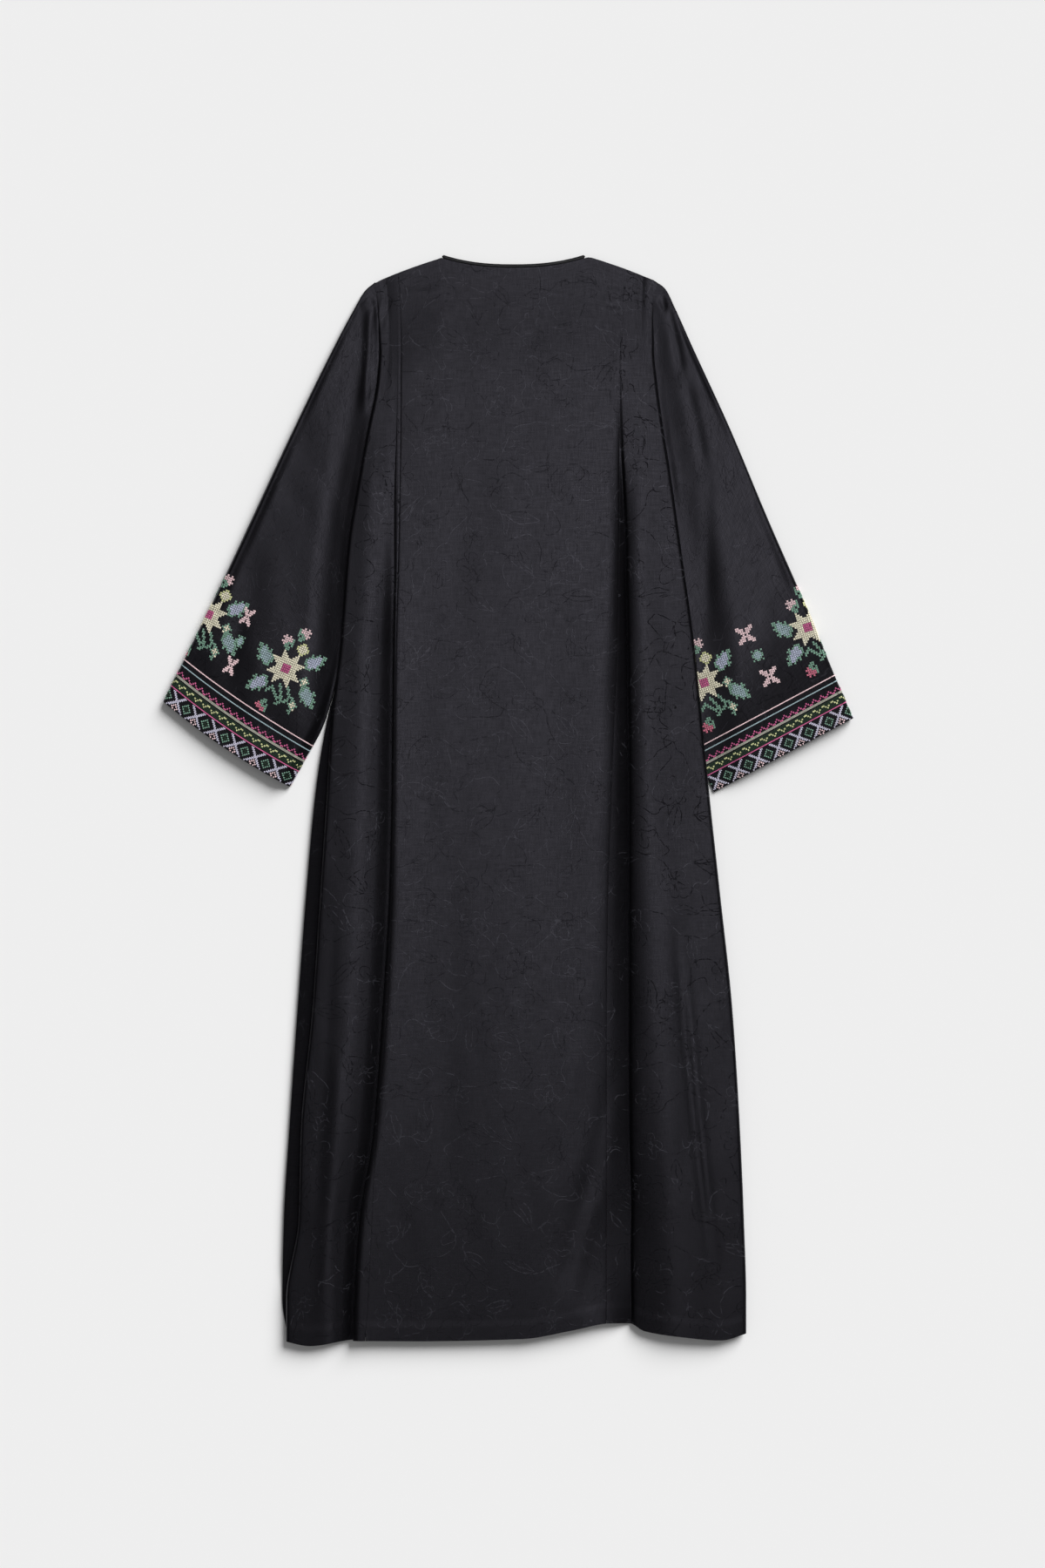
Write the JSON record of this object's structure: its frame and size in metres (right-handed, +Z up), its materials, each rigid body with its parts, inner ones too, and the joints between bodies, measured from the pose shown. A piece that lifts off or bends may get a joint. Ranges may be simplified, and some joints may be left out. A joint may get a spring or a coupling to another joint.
{
  "type": "kaftan",
  "caption": "Ankle-length kaftan of charcoal satin jacquard with long sleeves and cross-stitched cuffs, laid flat with its back up",
  "frame": {"origin": "on the surface it lies on, under the middle of the front panel, at half of its length", "axes": "+Y towards the neck, +X towards the sleeve on the right as seen from above, +Z up through the back"},
  "size_m": [0.9101, 1.4385, 0.0182],
  "materials": {
    "satin": "charcoal satin jacquard with single-line flowers, tone on tone",
    "piping": "glossy black bias piping",
    "embroidery": "cotton cross stitch in magenta, cream, green and lilac"
  },
  "bodies": {
    "root": {"front": "satin", "back_centre": "satin", "back_side_left": "satin", "back_side_right": "satin", "sleeve_left": "satin", "sleeve_right": "satin", "neck_binding_back": "piping", "neck_binding_front": "piping"}
  },
  "joints": []
}
